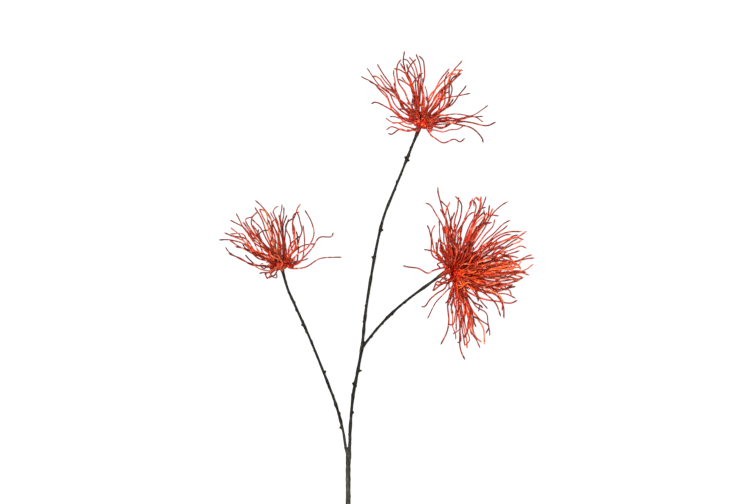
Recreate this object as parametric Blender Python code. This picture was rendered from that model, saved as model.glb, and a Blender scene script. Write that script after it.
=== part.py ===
"""A cut grevillea spray: one branched stem and three loose heads of long, wavy flower strands.

The spray lies on a flat surface, its heads turned up. Seen from above, +X is its right side and +Y runs
up the stem. It rests on the lower stem's flat underside and on the lowest strands of each head.
"""

import math
import random

import bmesh
import bpy
from mathutils import Vector

# Sizes are in millimetres and become metres when a mesh is written.
MM = 0.001

# The drawing starts at the lower fork. This place in it becomes the origin, below the spray's middle.
ORIGIN_X = 29.05
ORIGIN_Y = 122.0

# The height of the heads' hearts over the surface, and where the stem starts to rise from it.
HEART_HEIGHT = 28.0
RISE_START_Y = -12.0

# The stem: its sides all round, the length between rings, and its radii up the branches.
STEM_SIDES = 8
STEM_STEP = 8.0
CUT_END_Y = -154.0
FOOT_RADIUS = 2.5
FOOT_BLEND_Y = -9.0
FOOT_BLEND_RUN = 12.0
FORK_RADIUS = 1.7
TIP_RADIUS = 1.25
SHOOT_RADIUS = 1.35
SEAT_GAP = 0.3
NECK_RADII = (TIP_RADIUS, 1.5, 1.7, 2.1, 2.6)

MAIN_ROUTE = (
    (-3, CUT_END_Y), (-1, -104), (0, -54), (0.2, -12), (1.1, -2), (1.7, 5), (1.9, 16), (5, 53), (9.5, 77),
    (13.8, 101), (17.6, 137), (23.2, 173), (29.9, 209), (36, 233), (45.5, 257), (55.3, 281), (64.8, 305),
    (67.5, 311.5),
)
LEFT_ROUTE = (
    (-0.4, -9), (-1.9, -2), (-3, 4), (-4.8, 16), (-11.3, 41), (-20.1, 65), (-29.5, 89), (-39.3, 113),
    (-50, 137), (-60.6, 161), (-65, 176.5),
)
RIGHT_ROUTE = (
    (12.2, 97), (15.5, 102.6), (22, 111.4), (34, 125.6), (46, 137.7), (58, 148), (70, 157.2), (82, 165.8),
    (88.5, 170.6),
)

# Swellings: how far up the drawing each lies, how much it adds to the radius and its half length.
MAIN_SWELLINGS = (
    (-6, 0.45, 5), (21, 0.35, 4), (52, 0.4, 4), (65, 0.35, 5), (78, 0.3, 4), (99, 0.5, 5), (118, 0.3, 4),
    (131.5, 0.3, 4), (168, 0.35, 4), (190.5, 0.35, 4), (221, 0.45, 4), (245, 0.25, 5), (291, 0.5, 4),
)
LEFT_SWELLINGS = ((28.7, 0.4, 4), (43.5, 0.3, 4), (66, 0.3, 4), (124, 0.35, 4), (150, 0.2, 4))
RIGHT_SWELLINGS = ((134, 0.3, 4), (161, 0.35, 4))

# Bud scars: the place up the drawing, the side of the branch, -1 left or 1 right, and the reach from it.
MAIN_BUDS = (
    (36, 1, 1.0), (65, -1, 1.1), (78, 1, 2.2), (190.5, -1, 1.2), (220, 1, 1.2), (290, 1, 1.2), (291, -1, 1.2),
)
LEFT_BUDS = ((21.7, -1, 1.5), (76.6, 1, 1.3), (124, -1, 0.9))
BUD_RISE = 0.9
BUD_RADIUS = 1.1
BUD_TIP_RADIUS = 0.75
BUD_SIDES = 5

# The strands: three sides each, thinning to the tip, with more segments where the route has more points.
STRAND_SIDES = 3
ROOT_RADIUS = 0.9
STRAND_TIP_RADIUS = 0.6
FLOOR_CLEARANCE = 0.4
FLOOR_SOFTNESS = 1.5
STEM_CLEARANCE = 5.0
STEM_CLEARANCE_REACH = 7.0

# Routes of the leading strands as seen from above: x, y pairs in millimetres from the head's heart, from
# where the strand leaves the heart to its tip. Followers and fillers are drawn round them by a rule.
TOP_ROUTES = (
    (-11, 0, -27, 13, -38, 31, -60, 46), (-10, 12, -24, 23, -43, 38, -54, 54),
    (-16, 2, -31, 12, -46, 19, -50, 17), (-9, 4, -23, 23, -32, 40, -44, 58), (-15, 12, -25, 27, -41, 47),
    (-12, 14, -33, 34, -45, 46, -49, 46), (-9, 2, -16, 4, -31, 6), (-4, -9, -18, -9, -29, -6, -35, -8),
    (-5, -7, -13, -10, -21, -8, -29, -13, -33, -12), (-10, 10, -17, 14, -24, 31, -27, 47, -27, 53),
    (-4, 8, -7, 22, -12, 42, -21, 51, -27, 53), (-7, 8, -15, 27, -24, 45, -23, 58, -20, 63),
    (-3, 12, -12, 42, -17, 54, -17, 71), (-3, 14, -5, 32, -7, 50, -14, 62, -18, 63),
    (-5, 12, -9, 38, -17, 52, -21, 58), (2, 10, 3, 27, -4, 42, -13, 53, -14, 59),
    (-2, 12, 0, 42, -1, 59, -5, 69), (-4, 12, -9, 32, -13, 50, -9, 59, -5, 63),
    (1, 14, 2, 39, 4, 53, 2, 62, -2, 67), (3, 10, 7, 24, 4, 37), (6, 16, 13, 29, 19, 41, 28, 53),
    (8, 10, 16, 21, 20, 30, 27, 40, 33, 51, 41, 62), (5, 10, 8, 24, 14, 32, 25, 43, 33, 51, 42, 51),
    (9, 8, 18, 18, 23, 26, 26, 37, 30, 46, 35, 48), (9, 4, 22, 13, 28, 22, 28, 34, 31, 43, 39, 49),
    (10, -3, 24, -5, 30, -1, 38, 4, 48, 5),
    (8, 14, 19, 31, 34, 44, 41, 53), (9, 2, 22, 12, 29, 22, 31, 34, 29, 42),
    (10, 6, 24, 13, 32, 18, 39, 28, 45, 36), (10, 10, 22, 22, 36, 25, 49, 28),
    (11, -3, 31, -1, 45, 5, 55, 8, 67, 17), (10, 4, 19, 6, 34, 7, 53, 5, 62, 5),
    (10, 1, 20, 2, 40, 3, 55, 4, 62, 0),
    (11, -2, 29, 2, 51, -1, 67, -3, 75, 0), (10, 0, 19, 0, 37, -2, 53, -8, 61, -16, 62, -21),
    (9, -2, 17, 1, 21, 4), (6, -7, 12, -14, 22, -20, 34, -17, 39, -19, 44, -16), (10, -6, 19, -9, 37, -6, 44, -3),
    (-11, -2, -26, 9, -36, 27, -45, 36), (-9, 4, -26, 17, -34, 31, -52, 41), (-3, 14, -3, 34, -2, 48),
    (2, 14, 1, 30, 2, 43), (7, 12, 15, 25, 24, 36), (8, 8, 17, 18, 22, 31, 30, 41),
)
LEFT_ROUTES = (
    (-4, 10, -8, 34, -13, 50, -26, 64), (-7, 14, -15, 32, -20, 47, -26, 57), (-5, 16, -10, 33, -16, 44, -21, 55),
    (-10, 9, -26, 21, -39, 39, -45, 51), (-12, 5, -23, 14, -30, 28, -38, 37, -51, 44),
    (-11, 3, -26, 12, -40, 27, -50, 37), (-12, 6, -28, 14, -38, 29, -50, 31), (-11, 8, -29, 14, -40, 25, -51, 28),
    (-10, 2, -23, 6, -37, 20, -50, 24, -62, 24), (-12, 4, -31, 12, -45, 20, -51, 24),
    (-10, -3, -27, 0, -39, 4, -51, 12, -55, 17), (-14, 6, -30, 13, -46, 18),
    (-11, 9, -21, 24, -33, 38, -35, 45, -29, 47, -24, 52), (-10, 12, -25, 27, -34, 36, -38, 42),
    (-5, -5, -13, -7, -21, -4, -27, 0), (-9, -3, -25, 0, -31, 4, -35, 10), (-4, -6, -8, -12, -14, -14, -17, -9),
    (2, 10, 1, 24, -4, 41, -9, 53), (0, 12, -3, 40, -7, 52, -5, 56, -2, 58), (4, 9, 4, 21, 0, 42, 0, 60),
    (3, 14, 1, 40, 3, 57), (6, 6, 11, 12, 8, 26, 5, 37, 7, 43, 11, 46), (9, 7, 15, 17, 12, 38, 15, 52, 20, 60),
    (7, 10, 13, 20, 12, 36, 13, 49, 19, 52), (8, 5, 14, 14, 20, 28, 20, 42, 16, 51),
    (9, 8, 15, 20, 14, 32, 12, 42),
    (9, -2, 19, 2, 23, 16, 22, 39), (9, 2, 17, 10, 27, 17, 33, 29, 30, 43, 24, 54),
    (9, -2, 22, 5, 31, 17, 39, 26, 50, 28, 52, 32), (9, -4, 24, -3, 39, 5, 54, 7, 61, 7),
    (-8, -6, -15, -9, -22, -9), (-6, 6, -13, 10, -10, 14, -5, 12), (6, -1, 11, -3, 13, 2, 8, 5),
    (-8, 6, -15, 13, -22, 20, -28, 25, -33, 34, -38, 42), (-10, 10, -20, 24, -28, 35, -30, 40, -28, 47, -23, 52),
    (-5, 8, -11, 18, -16, 29, -22, 38, -28, 45), (-2, 10, -3, 24, -6, 36, -11, 46, -16, 53, -21, 55),
    (-1, 12, -1, 26, -4, 40, -10, 52), (-6, 10, -10, 20, -8, 30, -10, 38, -12, 44),
    (-9, 8, -18, 21, -25, 33, -30, 39),
)
RIGHT_ROUTES = (
    (-5, 12, -8, 30, -9, 52, -14, 67, -18, 81, -18, 87), (-6, 14, -12, 44, -20, 60, -26, 69, -31, 71),
    (-9, 11, -14, 21, -16, 38, -18, 53), (-4, 16, -4, 47, -8, 61, -9, 67, -16, 74),
    (-3, 20, -11, 50, -10, 62, -6, 72), (-4, 22, -9, 48, -13, 61, -16, 65),
    (-9, 10, -17, 13, -25, 22, -25, 36, -29, 49), (-13, 12, -21, 22, -25, 38, -24, 44, -21, 49),
    (-8, 10, -18, 18, -19, 28, -18, 36), (-10, 6, -23, 4, -28, 1, -38, 5, -53, 9), (-4, 18, -6, 40, -5, 58),
    (-2, 15, -6, 46, -2, 62), (-2, 16, -1, 42, 5, 58, 5, 70, -1, 78), (-1, 20, -2, 47, 1, 66, 3, 77),
    (0, 18, 3, 44, 11, 60, 16, 76), (2, 20, 6, 46, 12, 58, 19, 62), (5, 24, 15, 50, 22, 62, 25, 72, 20, 76),
    (6, 20, 16, 44, 23, 60, 28, 72, 30, 78), (7, 22, 17, 50, 24, 65, 29, 67), (8, 20, 24, 46, 32, 57, 34, 69),
    (9, 16, 27, 44, 37, 60, 47, 70, 52, 73), (10, 20, 24, 45, 34, 58, 42, 58), (6, 26, 18, 52, 28, 62),
    (12, 18, 28, 38, 36, 47, 38, 55), (12, 12, 28, 31, 43, 46, 55, 54), (14, 16, 34, 34, 44, 43, 51, 49),
    (13, 12, 30, 31, 41, 38, 56, 42, 65, 43), (12, 10, 31, 26, 49, 34, 62, 37, 71, 43),
    (16, 12, 40, 30, 60, 36, 67, 34), (16, 8, 36, 17, 52, 27, 65, 34), (14, 9, 38, 24, 50, 27, 56, 31),
    (18, 10, 42, 21, 58, 25, 65, 28, 70, 26), (18, 6, 46, 17, 58, 21, 64, 24), (16, 4, 40, 9, 62, 14, 77, 19),
    (20, 3, 44, 8, 66, 14, 79, 16), (18, 2, 42, 6, 60, 10, 64, 5), (15, 0, 35, -2, 59, 1, 72, 6, 77, 10),
    (20, -2, 46, 0, 60, 3, 70, 2), (18, -1, 44, 1, 61, 2, 73, -1), (12, -6, 34, -10, 49, -3, 63, -5, 68, -3),
    (14, -8, 36, -10, 53, -9, 58, -6), (12, -12, 34, -18, 49, -16, 54, -13, 59, -13),
    (14, -10, 40, -16, 53, -16, 56, -22), (13, -14, 36, -19, 49, -20, 59, -24),
    (10, -16, 24, -24, 40, -27, 54, -29, 61, -26), (14, -6, 29, -9, 39, -16, 46, -28, 49, -44),
    (12, -8, 37, -16, 46, -29, 46, -36), (10, -11, 26, -18, 38, -28, 44, -42),
    (8, -14, 18, -30, 31, -41, 33, -56, 34, -62), (8, -18, 22, -44, 33, -52, 30, -60),
    (7, -18, 20, -43, 27, -54, 28, -70), (10, -9, 18, -16, 25, -27, 30, -35), (5, -18, 11, -36, 17, -54, 24, -75),
    (6, -16, 13, -44, 19, -62, 25, -68), (2, -20, 4, -56, 4, -73, 9, -86), (4, -18, 8, -52, 11, -69, 11, -75),
    (3, -22, 6, -50, 9, -72), (2, -18, 4, -54, 5, -67, 1, -69), (-4, -14, -8, -30, -7, -46, -9, -58, -15, -71),
    (-1, -16, -4, -36, -3, -48, 0, -66), (-4, -13, -11, -18, -19, -26, -24, -35, -29, -44),
    (-8, -9, -14, -16, -25, -23, -31, -32, -35, -32), (-9, -8, -17, -12, -23, -16, -20, -8),
    (-8, 8, -15, 12, -19, 9, -15, 6), (-4, -14, -9, -27, -11, -29), (6, -16, 15, -36, 18, -47),
    (4, -20, 13, -44, 16, -61), (6, 5, 10, 9, 18, 9, 24, 6), (3, -9, 9, -13, 17, -11),
    (20, 6, 36, 13, 50, 17, 58, 12, 62, 8), (18, 4, 38, 9, 52, 12, 58, 6, 60, 10),
    (16, 2, 36, 6, 50, 8, 57, 2), (22, 8, 44, 16, 58, 18, 63, 16), (20, 2, 40, 4, 56, 8, 63, 10, 64, 14),
    (-6, 12, -10, 24, -12, 36, -13, 48), (-3, 14, -6, 26, -9, 40, -9, 50), (1, 14, 0, 28, 4, 40, 6, 52),
    (5, 12, 9, 24, 15, 36, 20, 48), (6, 14, 13, 36, 17, 48, 21, 60, 25, 70, 21, 77, 18, 74, 18, 67),
    (8, 16, 14, 36, 19, 54, 23, 66, 25, 78), (7, 20, 16, 44, 22, 53, 31, 60),
    (-1, -12, -2, -26, 1, -38, 1, -46, 0, -57), (3, -14, 7, -30, 8, -46, 10, -59, 6, -62),
    (5, -14, 12, -31, 15, -50, 12, -56, 13, -66, 8, -72), (10, -8, 22, -11, 32, -16, 42, -21, 47, -28),
)

# Each head: its heart in the drawing, its strands' full length, the half sizes of its broad core across,
# along and over the stem's line, the heading of the stem's end, the followers to each leading strand, the
# fillers, the bearing and half width in degrees of the fan that these spread over, and the seed.
HEADS = {
    "bloom_top": {
        "heart": (73, 327), "routes": TOP_ROUTES, "length": 72, "core": (11, 6.5, 8), "heading": (0.38, 0.92),
        "followers": 0.15, "fillers": 9, "fan": (80, 100), "seed": 11,
    },
    "bloom_left": {
        "heart": (-67, 185), "routes": LEFT_ROUTES, "length": 68, "core": (9.5, 6.5, 8), "heading": (-0.27, 0.96),
        "followers": 0.15, "fillers": 9, "fan": (98, 88), "seed": 23,
    },
    "bloom_right": {
        "heart": (108, 175), "routes": RIGHT_ROUTES, "length": 82, "core": (14, 6.5, 9), "heading": (0.76, 0.65),
        "followers": 0.1, "fillers": 16, "fan": (15, 135), "seed": 37,
    },
}

STEM_COLOUR = (0.052, 0.040, 0.026, 1.0)
BLOOM_COLOUR = (0.72, 0.085, 0.028, 1.0)


def ease(t):
    """Rise smoothly from 0 to 1."""
    t = min(max(t, 0.0), 1.0)
    return t * t * (3.0 - 2.0 * t)


def curve_point(points, span, t):
    """A point on the smooth curve through the given ones, t of the way along one span."""
    p1, p2 = points[span], points[span + 1]
    p0 = points[span - 1] if span > 0 else p1 * 2.0 - p2
    p3 = points[span + 2] if span + 2 < len(points) else p2 * 2.0 - p1
    k0, k1, k2 = (max((b - a).length, 1e-6) ** 0.5 for a, b in ((p0, p1), (p1, p2), (p2, p3)))
    m1 = ((p1 - p0) / k0 - (p2 - p0) / (k0 + k1) + (p2 - p1) / k1) * k1
    m2 = ((p2 - p1) / k1 - (p3 - p1) / (k1 + k2) + (p3 - p2) / k2) * k1
    return (
        p1 * (2 * t**3 - 3 * t**2 + 1) + m1 * (t**3 - 2 * t**2 + t)
        + p2 * (3 * t**2 - 2 * t**3) + m2 * (t**3 - t**2)
    )


def smooth_path(points, segments):
    """Evenly spaced points along the smooth curve through the given ones."""
    fine = [curve_point(points, span, i / 12.0) for span in range(len(points) - 1) for i in range(12)]
    fine.append(points[-1].copy())
    run = [0.0]
    for a, b in zip(fine, fine[1:]):
        run.append(run[-1] + (b - a).length)
    path = []
    k = 0
    for i in range(segments + 1):
        at = run[-1] * i / segments
        while k < len(fine) - 2 and run[k + 1] < at:
            k += 1
        path.append(fine[k].lerp(fine[k + 1], (at - run[k]) / max(run[k + 1] - run[k], 1e-9)))
    return path


def tube(bm, path, radii, sides):
    """Add a closed tube along a path. A level tube with an even number of sides has a flat side down."""
    rings = []
    side = None
    for i, centre in enumerate(path):
        ahead = path[min(i + 1, len(path) - 1)] - path[max(i - 1, 0)]
        ahead.normalize()
        if side is None:
            side = ahead.cross(Vector((0, 0, 1)))
            if side.length < 0.1:
                side = ahead.cross(Vector((1, 0, 0)))
        side = (side - ahead * side.dot(ahead)).normalized()
        up = side.cross(ahead)
        ring = []
        for k in range(sides):
            a = math.tau * (k + 0.5) / sides - math.pi / 2
            ring.append(bm.verts.new(centre + (side * math.cos(a) + up * math.sin(a)) * radii[i]))
        rings.append(ring)
    for low, high in zip(rings, rings[1:]):
        for k in range(sides):
            n = (k + 1) % sides
            bm.faces.new((low[k], low[n], high[n], high[k]))
    bm.faces.new(rings[0][::-1])
    bm.faces.new(rings[-1])


def new_object(name, bm, material=None):
    """Write a bmesh drawn in millimetres as an object in metres, about the origin."""
    bmesh.ops.recalc_face_normals(bm, faces=bm.faces)
    for vert in bm.verts:
        vert.co = (vert.co - Vector((ORIGIN_X, ORIGIN_Y, 0.0))) * MM
    mesh = bpy.data.meshes.new(name)
    bm.to_mesh(mesh)
    bm.free()
    ob = bpy.data.objects.new(name, mesh)
    bpy.context.scene.collection.objects.link(ob)
    if material:
        mesh.materials.append(material)
    return ob


def material(name, colour, roughness):
    mat = bpy.data.materials.new(name)
    mat.use_nodes = True
    shader = mat.node_tree.nodes["Principled BSDF"]
    shader.inputs["Base Color"].default_value = colour
    shader.inputs["Roughness"].default_value = roughness
    shader.inputs["Metallic"].default_value = 0.0
    return mat


def join_all(base, others, solver):
    """Join the other objects into the base by one Boolean union, and remove them."""
    group = bpy.data.collections.new(base.name + "_pieces")
    bpy.context.scene.collection.children.link(group)
    for ob in others:
        bpy.context.scene.collection.objects.unlink(ob)
        group.objects.link(ob)
    union = base.modifiers.new("union", "BOOLEAN")
    union.operation = "UNION"
    union.operand_type = "COLLECTION"
    union.collection = group
    union.solver = solver
    scene = bpy.context.evaluated_depsgraph_get()
    joined = bpy.data.meshes.new_from_object(base.evaluated_get(scene))
    base.modifiers.clear()
    old = base.data
    base.data = joined
    bpy.data.meshes.remove(old)
    joined.name = base.name
    for ob in others:
        bpy.data.objects.remove(ob)
    bpy.data.collections.remove(group)


def keep_one_body(ob):
    """Drop loose scraps and the walls of sealed hollows, so that one closed body is left."""
    bm = bmesh.new()
    bm.from_mesh(ob.data)
    left = set(bm.faces)
    bodies = []
    while left:
        body = {left.pop()}
        front = list(body)
        while front:
            for edge in front.pop().edges:
                for face in edge.link_faces:
                    if face in left:
                        left.discard(face)
                        body.add(face)
                        front.append(face)
        bodies.append(body)
    bodies.sort(key=len)
    for scrap in bodies[:-1]:
        bmesh.ops.delete(bm, geom=list(scrap), context="FACES")
    bm.to_mesh(ob.data)
    bm.free()


def branch_path(route, low, high, rise_from):
    """A branch's centre line, rising from one height to another."""
    flat = [Vector((x, y, 0.0)) for x, y in route]
    length = sum((b - a).length for a, b in zip(flat, flat[1:]))
    path = smooth_path(flat, round(length / STEM_STEP))
    for p in path:
        p.z = low + (high - low) * ease((p.y - rise_from) / (route[-1][1] - rise_from))
    return path


def branch_radii(path, low, high, swellings, foot=None):
    """Radii that thin along a branch and swell at its nodes."""
    radii = []
    for p in path:
        t = (p.y - path[0].y) / (path[-1].y - path[0].y)
        radius = low + (high - low) * t
        if foot:
            radius += (foot - low) * (1.0 - ease((p.y - FOOT_BLEND_Y) / FOOT_BLEND_RUN))
        for place, extra, half in swellings:
            radius += extra * math.exp(-((p.y - place) / half) ** 2)
        radii.append(radius)
    return radii


def stem_branches():
    """The main stem and the two side shoots, each as a centre line with its radii."""
    apothem = math.cos(math.pi / STEM_SIDES)
    main = branch_path(MAIN_ROUTE, 0.0, HEART_HEIGHT, RISE_START_Y)
    main_radii = branch_radii(main, FORK_RADIUS, TIP_RADIUS, MAIN_SWELLINGS, FOOT_RADIUS)
    for p, radius in zip(main, main_radii):
        p.z = max(p.z, radius * apothem)
    branches = [(main, main_radii)]
    for route, swellings in ((LEFT_ROUTE, LEFT_SWELLINGS), (RIGHT_ROUTE, RIGHT_SWELLINGS)):
        start = min(main, key=lambda p: abs(p.y - route[0][1]))
        path = branch_path(route, start.z, HEART_HEIGHT, route[0][1])
        branches.append((path, branch_radii(path, SHOOT_RADIUS, TIP_RADIUS, swellings)))
    return branches


def build_stem(branches, mat):
    """One grown piece: three tubes and the bud scars, joined."""
    pieces = []
    for path, radii in branches:
        bm = bmesh.new()
        tube(bm, path, radii, STEM_SIDES)
        pieces.append(new_object("stem", bm, mat))
    for (path, radii), buds in zip(branches, (MAIN_BUDS, LEFT_BUDS)):
        for place, side, reach in buds:
            k = min(range(1, len(path)), key=lambda i: abs(path[i].y - place))
            along = (path[k] - path[k - 1]).normalized()
            across = along.cross(Vector((0, 0, 1))).normalized() * side
            foot = path[k - 1].lerp(path[k], (place - path[k - 1].y) / (path[k].y - path[k - 1].y))
            root = foot + across * radii[k] * 0.1 - along * BUD_RISE
            tip = foot + across * (radii[k] + reach) + along * BUD_RISE
            bm = bmesh.new()
            tube(bm, [root, root.lerp(tip, 0.6), tip], (BUD_RADIUS, BUD_RADIUS, BUD_TIP_RADIUS), BUD_SIDES)
            pieces.append(new_object("bud", bm))
    stem = pieces[0]
    stem.name = "stem"
    join_all(stem, pieces[1:], "EXACT")
    keep_one_body(stem)
    return stem


def head_axes(head):
    """The heading of the stem's end and the level direction across it."""
    ahead = Vector((head["heading"][0], head["heading"][1], 0.0)).normalized()
    return ahead, Vector((ahead.y, -ahead.x, 0.0))


def strand_points(rng, head, flat, rises):
    """A strand's route in space: it leaves the core, and its rise or fall makes up its full length."""
    heart = Vector((head["heart"][0], head["heart"][1], HEART_HEIGHT))
    flat = [Vector((x, y, 0.0)) for x, y in zip(flat[::2], flat[1::2])]
    runs = [flat[0].length]
    for a, b in zip(flat, flat[1:]):
        runs.append(runs[-1] + (b - a).length)
    full = head["length"] * rng.uniform(0.88, 1.06)
    depth = 0.72 * math.sqrt(max(full**2 - runs[-1] ** 2, 0.0)) + rng.uniform(2.0, 7.0)
    depth = min(depth, 6.0 + 1.6 * runs[-1])
    if not rises:
        depth = min(depth, HEART_HEIGHT * rng.uniform(0.7, 1.3))
    crest = rng.uniform(0.45, 0.8)
    ahead, across = head_axes(head)
    wide, deep, tall = head["core"]
    leaves = flat[0].normalized()
    root = across * leaves.dot(across) * min(wide * 0.8, flat[0].length * 0.7)
    root += across * rng.uniform(-0.2, 0.2) * wide
    root += ahead * leaves.dot(ahead) * deep * 0.3
    root.z = tall * (0.25 if rises else -0.25)
    points = [heart + root]
    for p, run in zip(flat, runs):
        lift = depth * math.sin(math.pi * crest * run / runs[-1]) / math.sin(math.pi * min(crest, 0.5))
        points.append(heart + p + Vector((0, 0, lift if rises else -lift)))
    return points


def head_strands(head):
    """The routes of a head's strands: the leading ones, seeded followers beside them, and fillers."""
    rng = random.Random(head["seed"])
    strands = []
    for route in head["routes"]:
        rises = rng.random() < 0.62
        strands.append((strand_points(rng, head, route, rises), rises))
        if rng.random() < head["followers"]:
            beside = []
            turn = rng.choice((-1, 1)) * rng.uniform(0.05, 0.16)
            scale = rng.uniform(0.78, 1.0)
            for k in range(0, len(route), 2):
                reach = (k / 2 + 1) / (len(route) / 2)
                a = turn * (0.3 + 0.7 * reach)
                x = route[k] * math.cos(a) - route[k + 1] * math.sin(a)
                y = route[k] * math.sin(a) + route[k + 1] * math.cos(a)
                beside += [x * scale + rng.uniform(-1.5, 1.5) * reach, y * scale + rng.uniform(-1.5, 1.5) * reach]
            rises = rng.random() < 0.55
            strands.append((strand_points(rng, head, beside, rises), rises))
    for k in range(head["fillers"]):
        rises = k % 3 < 2
        middle, half_width = head["fan"]
        spread = 2.0 * ((k * 0.618 + 0.5 * rng.random() / head["fillers"]) % 1.0) - 1.0
        bearing = math.radians(middle + half_width * spread)
        reach = rng.uniform(14, 30) if rises else rng.uniform(26, 42)
        route = []
        for part, swing in ((0.3, rng.uniform(-0.3, 0.3)), (0.68, rng.uniform(-0.35, 0.35)), (1.0, 0.0)):
            route += [reach * part * math.cos(bearing + swing), reach * part * math.sin(bearing + swing)]
        strands.append((strand_points(rng, head, route, rises), rises))
    return strands


def clear_of_stem(p, rises, line):
    """Bend a point of a strand over or under the stem, and keep it off the surface below."""
    near = min(line, key=lambda q: (q.xy - p.xy).length)
    weight = math.exp(-(((near.xy - p.xy).length / STEM_CLEARANCE_REACH) ** 2))
    if rises:
        p.z = max(p.z, near.z + STEM_CLEARANCE * weight)
    elif weight > 0.02:
        p.z = min(p.z, near.z - STEM_CLEARANCE * weight)
    over = p.z - FLOOR_CLEARANCE
    if over < 15.0:
        p.z = FLOOR_CLEARANCE + FLOOR_SOFTNESS * math.log1p(math.exp(over / FLOOR_SOFTNESS))
    return p


def build_bloom(name, head, stem_path, mat):
    """One head: its rachis and core, and the strands that stand out of them, joined."""
    tip = stem_path[-1]
    along = (stem_path[-1] - stem_path[-2]).normalized()
    heart = Vector((head["heart"][0], head["heart"][1], HEART_HEIGHT))
    start = tip + along * SEAT_GAP
    reach = (heart - start).length
    ahead, across = head_axes(head)
    wide, deep, tall = head["core"]
    end = heart + across * (start - heart).dot(across) * 0.75
    bm = bmesh.new()
    neck = smooth_path([start, start + along * reach * 0.4, end], 4)
    neck[1] = start + along * reach * 0.2
    tube(bm, neck, NECK_RADII, STEM_SIDES)
    neck_piece = new_object("neck", bm)
    bm = bmesh.new()
    bmesh.ops.create_icosphere(bm, subdivisions=2, radius=1.0)
    for vert in bm.verts:
        place = vert.co.copy()
        vert.co = heart + across * place.x * wide + ahead * place.y * deep + Vector((0, 0, place.z * tall))
    core = new_object(name, bm, mat)
    fine = smooth_path(stem_path[-8:], 60)
    pieces = [neck_piece]
    for points, rises in head_strands(head):
        segments = 2 + len(points)
        path = smooth_path(points, segments)
        path = [path[0]] + [clear_of_stem(p, rises, fine) for p in path[1:]]
        radii = [ROOT_RADIUS + (STRAND_TIP_RADIUS - ROOT_RADIUS) * i / segments for i in range(segments + 1)]
        bm = bmesh.new()
        tube(bm, path, radii, STRAND_SIDES)
        for vert in bm.verts:
            vert.co.z = max(vert.co.z, 0.0)
        pieces.append(new_object("strand", bm))
    join_all(core, pieces, "MANIFOLD")
    keep_one_body(core)
    return core


def main():
    for ob in list(bpy.data.objects):
        bpy.data.objects.remove(ob)
    branches = stem_branches()
    build_stem(branches, material("stem_bark", STEM_COLOUR, 0.6))
    petals = material("strands", BLOOM_COLOUR, 0.4)
    for (name, head), (path, radii) in zip(HEADS.items(), branches):
        build_bloom(name, head, path, petals)
    for ob in bpy.context.scene.objects:
        ob.data.shade_smooth()
        ob.data.set_sharp_from_angle(angle=math.radians(50))


main()
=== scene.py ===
"""How the cut grevillea spray looks: bark on the stem, and heads of fine, satin, wavy strands with painted
highlights and shade.

The spray lies on a pale surface and the camera looks straight down on it. The drawing is in millimetres
from the stem's lower fork and becomes metres when a mesh is written.
"""

import math
import random

import bpy
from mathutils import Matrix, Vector, noise


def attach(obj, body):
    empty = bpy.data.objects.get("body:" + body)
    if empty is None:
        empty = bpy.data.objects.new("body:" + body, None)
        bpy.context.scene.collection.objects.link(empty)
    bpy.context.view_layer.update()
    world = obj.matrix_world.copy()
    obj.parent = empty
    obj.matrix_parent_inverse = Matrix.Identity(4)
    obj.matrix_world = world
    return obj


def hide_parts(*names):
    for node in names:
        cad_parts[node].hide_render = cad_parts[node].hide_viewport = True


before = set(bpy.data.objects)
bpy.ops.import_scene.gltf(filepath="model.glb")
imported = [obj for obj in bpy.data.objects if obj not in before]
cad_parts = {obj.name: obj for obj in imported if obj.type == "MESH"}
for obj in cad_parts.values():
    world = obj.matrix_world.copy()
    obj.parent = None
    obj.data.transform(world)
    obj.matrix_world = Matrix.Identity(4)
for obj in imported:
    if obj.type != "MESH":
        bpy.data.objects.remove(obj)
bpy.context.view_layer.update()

MM = 0.001
ORIGIN_X = 29.05
ORIGIN_Y = 122.0
HEART_HEIGHT = 28.0
RISE_START_Y = -12.0

STEM_SIDES = 8
STEM_STEP = 8.0
FINE_SIDES = 16
FINE_STEP = 1.6
CUT_END_Y = -154.0
FOOT_RADIUS = 2.5
FOOT_BLEND_Y = -9.0
FOOT_BLEND_RUN = 12.0
FORK_RADIUS = 1.7
TIP_RADIUS = 1.25
SHOOT_RADIUS = 1.35
SEAT_GAP = 0.3

MAIN_ROUTE = (
    (-3, CUT_END_Y), (-1, -104), (0, -54), (0.2, -12), (1.1, -2), (1.7, 5), (1.9, 16), (5, 53), (9.5, 77),
    (13.8, 101), (17.6, 137), (23.2, 173), (29.9, 209), (36, 233), (45.5, 257), (55.3, 281), (64.8, 305),
    (67.5, 311.5),
)
LEFT_ROUTE = (
    (-0.4, -9), (-1.9, -2), (-3, 4), (-4.8, 16), (-11.3, 41), (-20.1, 65), (-29.5, 89), (-39.3, 113),
    (-50, 137), (-60.6, 161), (-65, 176.5),
)
RIGHT_ROUTE = (
    (12.2, 97), (15.5, 102.6), (22, 111.4), (34, 125.6), (46, 137.7), (58, 148), (70, 157.2), (82, 165.8),
    (88.5, 170.6),
)

# Swellings: how far up the drawing each lies, how much it adds to the radius and its half length.
MAIN_SWELLINGS = (
    (-6, 0.45, 5), (21, 0.35, 4), (52, 0.4, 4), (65, 0.35, 5), (78, 0.3, 4), (99, 0.5, 5), (118, 0.3, 4),
    (131.5, 0.3, 4), (168, 0.35, 4), (190.5, 0.35, 4), (221, 0.45, 4), (245, 0.25, 5), (291, 0.5, 4),
)
LEFT_SWELLINGS = ((28.7, 0.4, 4), (43.5, 0.3, 4), (66, 0.3, 4), (124, 0.35, 4), (150, 0.2, 4))
RIGHT_SWELLINGS = ((134, 0.3, 4), (161, 0.35, 4))

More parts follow.
